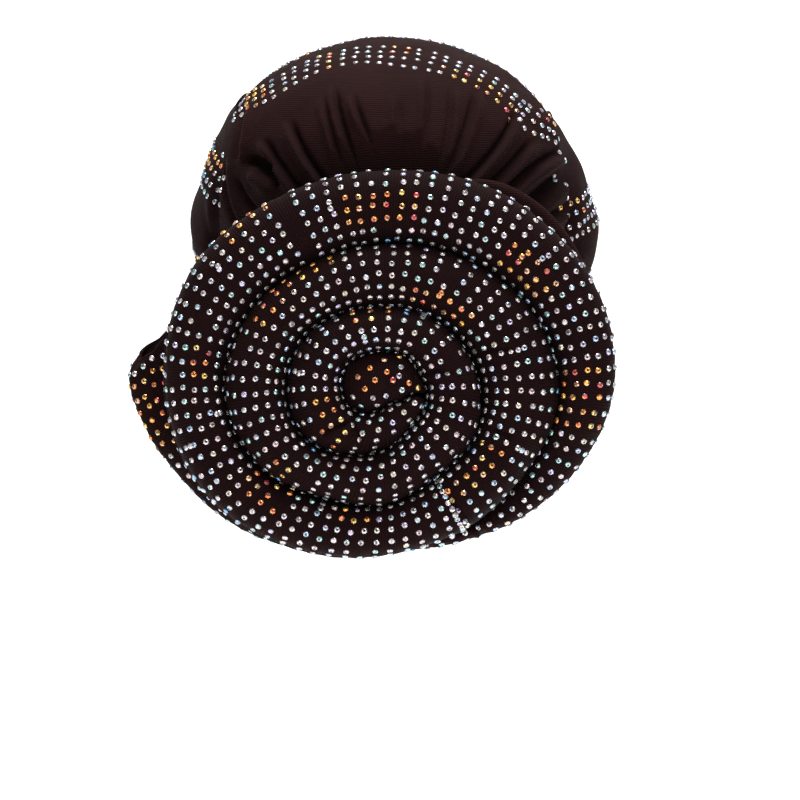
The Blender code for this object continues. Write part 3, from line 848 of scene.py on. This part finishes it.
def make_centre(material):
    """The tucked lobe, crowned in front, with its sides going down between the roll's turns."""
    crest = ROLL_BACK_Y - ROLL_THICKNESS - SPIRAL_RISE
    side_y = ROLL_BACK_Y - 0.5 * ROLL_THICKNESS
    profile = [(0.55, ROLL_BACK_Y), (0.90, ROLL_BACK_Y - 0.1 * ROLL_THICKNESS)]
    for k in range(25):
        angle = math.radians(3.5 * k)
        profile.append((math.cos(angle) ** 0.6, side_y + (crest - side_y) * math.sin(angle) ** 0.8))
    grid = disc_grid(lobe_outline, profile, LOBE_SIDES)
    grid += grid_normals(grid, True, False) * ripple_push(grid, LOBE_RIPPLES)[..., None]
    return disc_object("rosette_centre_pad", grid, material), grid


def make_base(material):
    """The padded base behind the rosette, with a rounded edge."""
    middle_y, half = (BASE_BACK_Y + BASE_FRONT_Y) / 2, BASE_THICKNESS / 2
    profile = [(0.3, BASE_BACK_Y), (0.7, BASE_BACK_Y)]
    for k in range(13):
        angle = math.radians(-90.0 + 15.0 * k)
        profile.append((0.965 + 0.035 * math.cos(angle), middle_y - half * math.sin(angle)))
    profile += [(0.7, BASE_FRONT_Y), (0.3, BASE_FRONT_Y)]
    return disc_object("rosette_base_pad", disc_grid(base_outline, profile, BASE_SIDES), material)


# Materials


def new_material(name, values):
    """A material, its nodes and its shader, with values of the shader's inputs."""
    material = bpy.data.materials.new(name)
    material.use_nodes = True
    shader = material.node_tree.nodes["Principled BSDF"]
    for key, value in values.items():
        shader.inputs[key].default_value = value
    return material, material.node_tree, shader


def add_node(tree, kind, values=None, **settings):
    """A node with its settings and the values of its inputs; a value that is a socket is linked."""
    node = tree.nodes.new(kind)
    for name, value in settings.items():
        setattr(node, name, value)
    for key, value in (values or {}).items():
        if isinstance(value, bpy.types.NodeSocket):
            tree.links.new(value, node.inputs[key])
        else:
            node.inputs[key].default_value = value
    return node


def maths(tree, operation, *values):
    return add_node(tree, "ShaderNodeMath", dict(enumerate(values)), operation=operation).outputs[0]


def noise_field(tree, place, scale, detail):
    values = {"Vector": place, "Scale": scale, "Detail": detail}
    return add_node(tree, "ShaderNodeTexNoise", values).outputs[0]


def waves(tree, place, pitch):
    """Rounded ridges, a pitch apart."""
    return maths(tree, "ABSOLUTE", maths(tree, "SINE", maths(tree, "MULTIPLY", place, math.pi / pitch)))


def knit_material(name, dark, light, rib_axis, rib_pitch, stitch_pitch, rib_depth):
    """Ribbed knit: rounded ribs across one axis of the cloth, stitches across the other, and fuzz, darkened
    by the mesh's painted shade.
    """
    sheen = {"Sheen Weight": 0.03, "Sheen Roughness": 0.45, "Sheen Tint": (0.50, 0.27, 0.24, 1.0)}
    material, tree, shader = new_material(name, {"IOR": 1.12, **sheen})
    uv = add_node(tree, "ShaderNodeUVMap", uv_map="knit")
    place = add_node(tree, "ShaderNodeSeparateXYZ", {0: uv.outputs[0]})
    coordinates = add_node(tree, "ShaderNodeTexCoord").outputs["Object"]
    broad = noise_field(tree, coordinates, 38.0, 3.0)
    fuzz = noise_field(tree, coordinates, 1400.0, 2.0)
    across = maths(tree, "ADD", place.outputs[rib_axis], maths(tree, "MULTIPLY", broad, 0.0012))
    rib = waves(tree, across, rib_pitch)
    stitch = waves(tree, place.outputs[1 - rib_axis], stitch_pitch)
    height = maths(tree, "MULTIPLY_ADD", stitch, 0.25, maths(tree, "MULTIPLY", rib, 0.75))
    height = maths(tree, "MULTIPLY_ADD", fuzz, 0.35, height)
    # Its colour varies at random with the broad noise and the fuzz, as the yarn does, and is darker between
    # ribs and stitches, which is painted shade.
    tone = maths(tree, "MULTIPLY_ADD", broad, 0.45, maths(tree, "MULTIPLY", height, 0.5))
    ramp = add_node(tree, "ShaderNodeValToRGB", {0: tone})
    for element, position, colour in zip(ramp.color_ramp.elements, (0.25, 0.85), (dark, light)):
        element.position = position
        element.color = (*colour, 1.0)
    # Painted shade: the mesh's stored shade takes up to three quarters off the colour in fold valleys,
    # grooves, the tail's open end and behind the rosette.
    painted_shade = add_node(tree, "ShaderNodeAttribute", attribute_name="painted_shade").outputs["Fac"]
    shade = maths(tree, "MULTIPLY_ADD", painted_shade, -0.75, 1.0)
    shaded = add_node(tree, "ShaderNodeVectorMath", {0: ramp.outputs[0], "Scale": shade}, operation="SCALE")
    bump = add_node(tree, "ShaderNodeBump", {"Height": height, "Distance": rib_depth, "Strength": 0.8})
    tree.links.new(shaded.outputs[0], shader.inputs["Base Color"])
    tree.links.new(bump.outputs[0], shader.inputs["Normal"])
    tree.links.new(maths(tree, "MULTIPLY_ADD", fuzz, 0.16, 0.74), shader.inputs["Roughness"])
    return material


def stone_material(name, colour):
    metallic, roughness = OTHER_FINISHES.get(name, BRIGHT_FINISH)
    finish = {"Metallic": metallic, "Roughness": roughness, "Coat Weight": 0.5, "Coat Roughness": 0.03}
    return new_material(f"stone_{name}", {"Base Color": (*colour, 1.0), **finish})[0]


# Stones


def stone_template():
    """Points, triangles and facet roles of one cut stone of radius 1, standing on z 0."""
    rings = ((0.93, -0.20, 0.0), (1.0, 0.10, 0.0), (0.80, 0.40, 0.5), (0.42, 0.58, 0.0))
    points = []
    for radius, height, shift in rings:
        for k in range(STONE_SIDES):
            angle = 2 * math.pi * (k + shift) / STONE_SIDES
            points.append((radius * math.cos(angle), radius * math.sin(angle), height))
    triangles, facets = [], []
    for ring in range(len(rings) - 1):
        low, high = ring * STONE_SIDES, (ring + 1) * STONE_SIDES
        turned = rings[ring + 1][2] > rings[ring][2]
        for k in range(STONE_SIDES):
            after = (k + 1) % STONE_SIDES
            if turned or ring == 0:
                triangles += [(low + k, low + after, high + k), (low + after, high + after, high + k)]
            else:
                triangles += [(low + k, low + after, high + after), (low + k, high + after, high + k)]
            facets += [k, k]
    top = (len(rings) - 1) * STONE_SIDES
    for k in range(1, STONE_SIDES - 1):
        triangles.append((top, top + k, top + k + 1))
        facets.append(-1)
    return np.array(points), np.array(triangles), np.array(facets)


def pick(draw, weights):
    return draw.choices(list(weights), list(weights.values()))[0]


def stone_tones(draw, kind, steep):
    """A tone for each sector of a stone's ring and for its table. Most sectors share one tone; some get a
    painted shadow tone.
    """
    rings, tables, painted_shadow = KIND_TONES[kind]
    if steep and kind == CLEAR:
        rings = SLANT_REFLECTION_RINGS
    main = pick(draw, rings)
    tones = []
    for _ in range(STONE_SIDES):
        chance = draw.random()
        if chance < MAIN_TONE:
            tones.append(main)
        elif chance < ANY_TONE:
            tones.append(pick(draw, rings))
        else:
            tones.append(painted_shadow)
    tones.append(pick(draw, tables))
    return [list(STONE_COLOURS).index(tone) for tone in tones]


def stones_object(name, spots, materials, draw):
    """One joined mesh of stones. Each spot is a point, the direction it faces and its kind."""
    points, triangles, facets = stone_template()
    vertices, faces, tones = [], [], []
    for place, facing, kind in spots:
        tilt = np.array([draw.uniform(-STONE_TILT, STONE_TILT) for _ in range(3)])
        facing = unit(np.asarray(facing) + tilt)
        side = unit(np.cross(facing, (0.31, 0.52, 0.79)))
        up = np.cross(facing, side)
        spin = draw.uniform(0.0, 2 * math.pi)
        side, up = math.cos(spin) * side + math.sin(spin) * up, math.cos(spin) * up - math.sin(spin) * side
        size = STONE_RADIUS * draw.uniform(*STONE_SIZES)
        local = points[:, :1] * side + points[:, 1:2] * up + points[:, 2:] * facing
        faces.append(triangles + len(points) * len(faces))
        vertices.append(np.asarray(place) + size * local)
        tones.append(np.array(stone_tones(draw, kind, facing[1] > STEEP_FACING))[facets])
    vertices, faces, tones = (np.concatenate(parts) for parts in (vertices, faces, tones))
    mesh = bpy.data.meshes.new(name)
    mesh.from_pydata(vertices.tolist(), [], faces.tolist())
    for material in materials:
        mesh.materials.append(material)
    mesh.polygons.foreach_set("material_index", tones.astype(np.int32))
    mesh.update()
    return link_object(name, mesh)


def on_grid(grid, normals, row, column, closed):
    """A point of a grid and its direction, at a row and a column that may lie between its own."""
    rows, columns = grid.shape[:2]
    row = min(max(row, 0.0), rows - 1.001)
    i, k = int(row), int(math.floor(column))
    a, b = row - i, column - k
    low, high = (k % columns, (k + 1) % columns) if closed else (min(k, columns - 1), min(k + 1, columns - 1))
    corners = ((i, low), (i, high), (i + 1, low), (i + 1, high))
    weights = ((1 - a) * (1 - b), (1 - a) * b, a * (1 - b), a * b)
    point = sum(grid[corner] * weight for corner, weight in zip(corners, weights))
    facing = unit(sum(normals[corner] * weight for corner, weight in zip(corners, weights)))
    return point, facing


def warm_on_roll(turn, point):
    px, py = photo_pixel(point)
    away = math.hypot(px - ROSETTE_PX, py - ROSETTE_PY)
    return any(a <= turn <= b and low <= away <= high for a, b, low, high in WARM_ON_ROLL)


def roll_stone_kind(turn, column, point):
    if warm_on_roll(turn, point):
        return WARM
    # A stone deep in a groove gets the greyer tones of painted shade.
    return GROOVE_SHADED if groove_share(turn, column) > 0.5 else CLEAR


def section_places(grid, row, first, last):
    """Distances over a section from its front middle, at columns from first to last."""
    columns = np.arange(first, last + 1)
    near = grid[int(round(row))][columns % grid.shape[1]]
    lengths = np.concatenate(([0.0], np.cumsum(np.linalg.norm(np.diff(near, axis=0), axis=1))))
    middle = grid.shape[1] // 4 - first
    return columns, lengths - lengths[middle]


def roll_stones(grid, rings, draw):
    """Columns of stones across the roll, a pitch apart along its middle line."""
    normals = grid_normals(grid, True, True)
    body = slice(len(MOUTH_RINGS), len(rings) - TIP_RINGS)
    rows, turns, lengths = np.arange(body.start, body.stop), rings[body, 0], roll_lengths(rings)[body]
    place = lengths[np.argmin(np.abs(turns - TAIL[0][0]))] + TAIL_MARGIN
    spots = []
    while place < lengths[-1]:
        turn = np.interp(place, lengths, turns)
        spots += column_stones(grid, normals, np.interp(place, lengths, rows), turn, ROW_PITCH, draw)
        place += COLUMN_PITCH * draw.uniform(*COLUMN_SPREAD)
        if any(abs(turn - plain) < PLAIN_REACH for plain in PLAIN_TURNS):
            place += COLUMN_PITCH
    chain_row = np.interp(CHAIN_TURN, turns, rows)
    return spots + column_stones(grid, normals, chain_row, CHAIN_TURN, CHAIN_PITCH, draw)


def column_stones(grid, normals, row, turn, pitch, draw):
    """One column of stones over the roll's front, from the inner groove to the outer edge or groove."""
    first = FREE_COLUMN if turn < FULL_TURN else GROOVE_COLUMN
    columns, lengths = section_places(grid, row, first, LAST_COLUMN)
    spots = []
    count = int(max(-lengths[0], lengths[-1]) / pitch) + 1
    for k in range(-count, count + 1):
        over = pitch * (k + draw.uniform(-ACROSS_SPREAD, ACROSS_SPREAD))
        if not lengths[0] <= over <= lengths[-1] or draw.random() < MISSING_SHARE:
            continue
        pair = (over, over + DOUBLE_STEP) if draw.random() < DOUBLE_SHARE else (over,)
        for place in pair:
            column = float(np.interp(place, lengths, columns))
            shift = pitch / ROW_PITCH * draw.uniform(-ALONG_SPREAD, ALONG_SPREAD)
            point, facing = on_grid(grid, normals, row + shift, column, True)
            if turn >= 0.0 or not hidden_by_roll(point, turn):
                spots.append((point, facing, roll_stone_kind(turn, column, point)))
    return spots


def hidden_by_roll(point, turn):
    """Whether a stone on the tail lies under the roll's next time round."""
    away = math.hypot(point[0] - ROSETTE_X, point[2] - ROSETTE_Z)
    covered = float(edge_share(np.array(turn + FULL_TURN))) * ROSETTE_RADIUS
    return away < covered - 0.001


def centre_stones(grid):
    """Stones on the tucked lobe, looked up along the camera's own lines of sight."""
    faces = grid_faces(*grid.shape[:2], True, False)[0]
    tree = BVHTree.FromPolygons(grid.reshape(-1, 3).tolist(), faces)
    spots = []
    for kind, pixels in ((WARM, CENTRE_WARM), (CLEAR, CENTRE_CLEAR)):
        for px, py in pixels:
            heading = (on_plane(px, py, SEAT_Y) - Vector(CAMERA)).normalized()
            hit, facing, _, _ = tree.ray_cast(Vector(CAMERA), heading, 2.0)
            if hit is not None:
                spots.append((np.array(hit), np.array(facing), kind))
    return spots


def warm_patch(point, offset):
    """Whether stones near a point that the photograph doesn't settle are warm ones."""
    return noise.noise(Vector(point) * PATCH_SCALE + Vector((offset, 0.0, 0.0))) > PATCH_LEVEL


def band_warm(point, band, row):
    px, _ = photo_pixel(point)
    if band == 0:
        return any(a <= px <= b and first <= row <= last for a, b, first, last in WARM_ON_BAND)
    return warm_patch(point, 4.0 * band)


def band_goes_on(point, row, draw):
    """Whether the rearmost band still has a stone so far down a side."""
    px, py = photo_pixel(point)
    left = px < ROSETTE_PX
    if py < (LEFT_BAND_END if left else RIGHT_BAND_END):
        return True
    return row == 0 and py < SINGLES_END and (not left or draw.random() < LEFT_SINGLES_SHARE)


def band_row(tree, band, row):
    """A row's points over the crown: angle from straight up, place, direction and the face hit."""
    found = []
    share = row / (BAND_ROWS - 1)
    for degrees in np.arange(-BAND_REACH, BAND_REACH + 0.1, BAND_SAMPLE):
        if band == 0:
            y = (1.0 - share) * curve(REAR_BAND, degrees, 1) + share * curve(REAR_BAND, degrees, 2)
        else:
            y = BANDS_Y + band * BAND_STEP + row * BAND_ROW_PITCH
        angle = math.radians(degrees)
        heading = Vector((math.sin(angle), 0.0, math.cos(angle)))
        start = Vector((0.0, y, BAND_CENTRE_Z)) + heading * RAY_START
        hit, facing, index, _ = tree.ray_cast(start, -heading, RAY_START)
        if hit is not None:
            found.append((angle, np.array(hit), np.array(facing), index))
    return found


def crown_stones(crown_grid, wrap_grid, draw):
    """Rows over what shows of the crown."""
    crown_faces = grid_faces(*crown_grid.shape[:2], True, True)[0]
    wrap_faces = grid_faces(*wrap_grid.shape[:2], False, True)[0]
    count = crown_grid.shape[0] * crown_grid.shape[1]
    vertices = np.concatenate((crown_grid.reshape(-1, 3), wrap_grid.reshape(-1, 3))).tolist()
    tree = BVHTree.FromPolygons(vertices, crown_faces + [[v + count for v in face] for face in wrap_faces])
    spots = []
    for band in range(BAND_COUNT):
        columns = None
        for row in range(BAND_ROWS):
            found = band_row(tree, band, row)
            if len(found) < 2:
                continue
            angles = np.array([f[0] for f in found])
            if columns is None:
                columns = band_columns(angles, np.array([f[1] for f in found]), draw)
            for angle in columns:
                at = angle * (1.0 - BAND_NARROWING * row) + BAND_LEAN * row
                at += draw.uniform(-BAND_SPREAD, BAND_SPREAD)
                k = int(np.argmin(np.abs(angles - at)))
                _, point, facing, face = found[k]
                if abs(angles[k] - at) > BAND_MISS or face >= len(crown_faces):
                    continue
                if band > 0 or band_goes_on(point, row, draw):
                    spots.append((point, facing, WARM if band_warm(point, band, row) else CLEAR))
    return spots


def band_columns(angles, places, draw):
    """Angles of a band's columns, a pitch apart along its first row from its middle."""
    lengths = np.concatenate(([0.0], np.cumsum(np.linalg.norm(np.diff(places, axis=0), axis=1))))
    lengths -= np.interp(0.0, angles, lengths)
    marks = np.arange(-40, 41) * COLUMN_PITCH
    marks = marks[(marks > lengths[0]) & (marks < lengths[-1])]
    return [np.interp(mark + draw.uniform(-PLACE_SPREAD, PLACE_SPREAD), lengths, angles) for mark in marks]


def wrap_warm(point):
    px, py = photo_pixel(point)
    if point[1] < 0.0:
        return any(a <= px <= b and low <= py <= high for a, b, low, high in WARM_ON_WRAP)
    return warm_patch(point, 20.0)


def wrap_stones(grid, draw):
    rows, columns = grid.shape[:2]
    normals = grid_normals(grid, False, True)
    along, down = cloth_lengths(grid)
    spots = []
    azimuths = np.linspace(-WRAP_REAR_AZIMUTH, WRAP_REAR_AZIMUTH, columns)
    ends = (-WRAP_REAR_AZIMUTH, -WRAP_BAND_SIDE, 0.0, WRAP_BAND_SIDE, WRAP_REAR_AZIMUTH)
    for left, front, right in WRAP_BANDS:
        at_rows = curve(list(zip(ends, (left, left, front, right, right))), azimuths) * (rows - 1)
        middle, path = (
            np.array([np.interp(at, np.arange(rows), lengths[:, k]) for k, at in enumerate(at_rows)])
            for lengths in (down, along)
        )
        for place in np.arange(path[0] + 0.002, path[-1] - 0.001, COLUMN_PITCH):
            column = np.interp(place + draw.uniform(-PLACE_SPREAD, PLACE_SPREAD), path, np.arange(columns))
            k = int(round(column))
            for row in range(BAND_ROWS):
                up = middle[k] + (row - (BAND_ROWS - 1) / 2) * BAND_ROW_PITCH
                up += draw.uniform(-WRAP_BAND_SPREAD, WRAP_BAND_SPREAD)
                if 0.002 < up < down[-1, k] - 0.003:
                    at = np.interp(up, down[:, k], np.arange(rows))
                    point, facing = on_grid(grid, normals, at, column, False)
                    spots.append((point, facing, WARM if wrap_warm(point) else CLEAR))
    return spots


# Stage


def make_backdrop():
    """A pale floor that curves up into a wall far behind."""
    line = [(-4.0, FLOOR_Z), (0.0, FLOOR_Z)]
    for k in range(13):
        angle = math.radians(7.5 * k)
        y, z = WALL_Y - FLOOR_BEND * (1.0 - math.sin(angle)), FLOOR_Z + FLOOR_BEND * (1.0 - math.cos(angle))
        line.append((y, z))
    line.append((WALL_Y, 4.0))
    vertices = [(x, y, z) for x in (-BACKDROP_HALF_WIDTH, BACKDROP_HALF_WIDTH) for y, z in line]
    count = len(line)
    faces = [(k, k + count, k + 1 + count, k + 1) for k in range(count - 1)]
    finish = {"Base Color": (0.90, 0.90, 0.90, 1.0), "Roughness": 0.9}
    glow = {"Emission Color": (1.0, 1.0, 1.0, 1.0), "Emission Strength": BACKDROP_GLOW}
    material = new_material("backdrop", {**finish, **glow})[0]
    new_object("backdrop", vertices, faces, [(0.0, 0.0)] * (4 * len(faces)), material)


def make_lights():
    for name, place, size, power in LIGHTS:
        data = bpy.data.lights.new(name, "AREA")
        data.shape = "DISK"
        data.size = size
        data.energy = power
        light = link_object(name, data)
        light.location = place
        light.rotation_mode = "QUATERNION"
        light.rotation_quaternion = (Vector(LIT_PLACE) - Vector(place)).to_track_quat("-Z", "Y")
    world = bpy.data.worlds.new("studio")
    world.use_nodes = True
    tree = world.node_tree
    seen = add_node(tree, "ShaderNodeLightPath").outputs["Is Camera Ray"]
    strength = maths(tree, "MULTIPLY_ADD", seen, SEEN_WORLD - ROOM_LIGHT, ROOM_LIGHT)
    tree.links.new(strength, tree.nodes["Background"].inputs["Strength"])
    tree.nodes["Background"].inputs["Color"].default_value = (1.0, 1.0, 1.0, 1.0)
    bpy.context.scene.world = world


def make_camera():
    data = bpy.data.cameras.new("camera")
    data.sensor_width = SENSOR_WIDTH
    data.lens = SENSOR_WIDTH * -CAMERA[1] / (PIXEL * FRAME_PIXELS)
    camera = link_object("camera", data)
    camera.location = CAMERA
    camera.rotation_euler = (math.radians(90.0), 0.0, 0.0)
    bpy.context.scene.camera = camera


def place(piece, slot, *nodes):
    """Every piece rides on the one body and may stand for CAD nodes, whose parts are hidden; slot is not
    used.
    """
    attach(piece, "root")
    if nodes:
        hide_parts(*nodes)
    return piece


def main():
    draw = random.Random(SEED)
    bpy.context.scene.view_settings.view_transform = "Standard"
    make_camera()
    make_lights()
    make_backdrop()
    panel_knit = knit_material(
        "panel_knit", dark=(0.0048, 0.0011, 0.0012), light=(0.0152, 0.0043, 0.0043),
        rib_axis=1, rib_pitch=0.0010, stitch_pitch=0.0008, rib_depth=0.0003,
    )
    roll_knit = knit_material(
        "roll_knit", dark=(0.0030, 0.0007, 0.0009), light=(0.0092, 0.0026, 0.0030),
        rib_axis=0, rib_pitch=0.0012, stitch_pitch=0.0008, rib_depth=0.0003,
    )
    stones = [stone_material(name, colour) for name, colour in STONE_COLOURS.items()]

    crown, crown_grid = make_crown(panel_knit)
    wrap, wrap_grid = make_wrap(roll_knit)
    roll, roll_points, rings = make_roll(roll_knit)
    centre, centre_points = make_centre(roll_knit)
    base = make_base(panel_knit)
    crown_hem = tube("crown_hem", crown_grid[0], 0.0013, True, panel_knit)
    wrap_hem = tube("wrap_hem", wrap_grid[0], 0.0012, False, roll_knit)
    wrap_top_hem = tube("wrap_top_hem", wrap_grid[-1, TOP_HEM], 0.0006, False, roll_knit)
    tail_hem = tube("rosette_tail_hem", roll_points[TAIL_HEM_ROW], 0.0008, True, panel_knit)
    seam_rows = np.nonzero((rings[:, 0] > SEAM_TURNS[0]) & (rings[:, 0] < SEAM_TURNS[1]))[0]
    seam = tube("rosette_roll_seam", roll_points[seam_rows, 1], 0.0005, False, panel_knit)

    place(crown, "plain_knit", "crown")
    place(wrap, "stoned_knit", "front_wrap")
    place(roll, "stoned_knit", "rosette_roll")
    place(centre, "stoned_knit", "rosette_centre")
    place(base, "plain_knit", "rosette_base")
    for piece in (crown_hem, seam, tail_hem):
        place(piece, "plain_knit")
    for piece in (wrap_hem, wrap_top_hem):
        place(piece, "stoned_knit")

    for name, spots in (
        ("stones_roll", roll_stones(roll_points, rings, draw)),
        ("stones_centre", centre_stones(centre_points)),
        ("stones_crown", crown_stones(crown_grid, wrap_grid, draw)),
        ("stones_wrap", wrap_stones(wrap_grid, draw)),
    ):
        place(stones_object(name, spots, stones, draw), "stones")

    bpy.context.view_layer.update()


main()
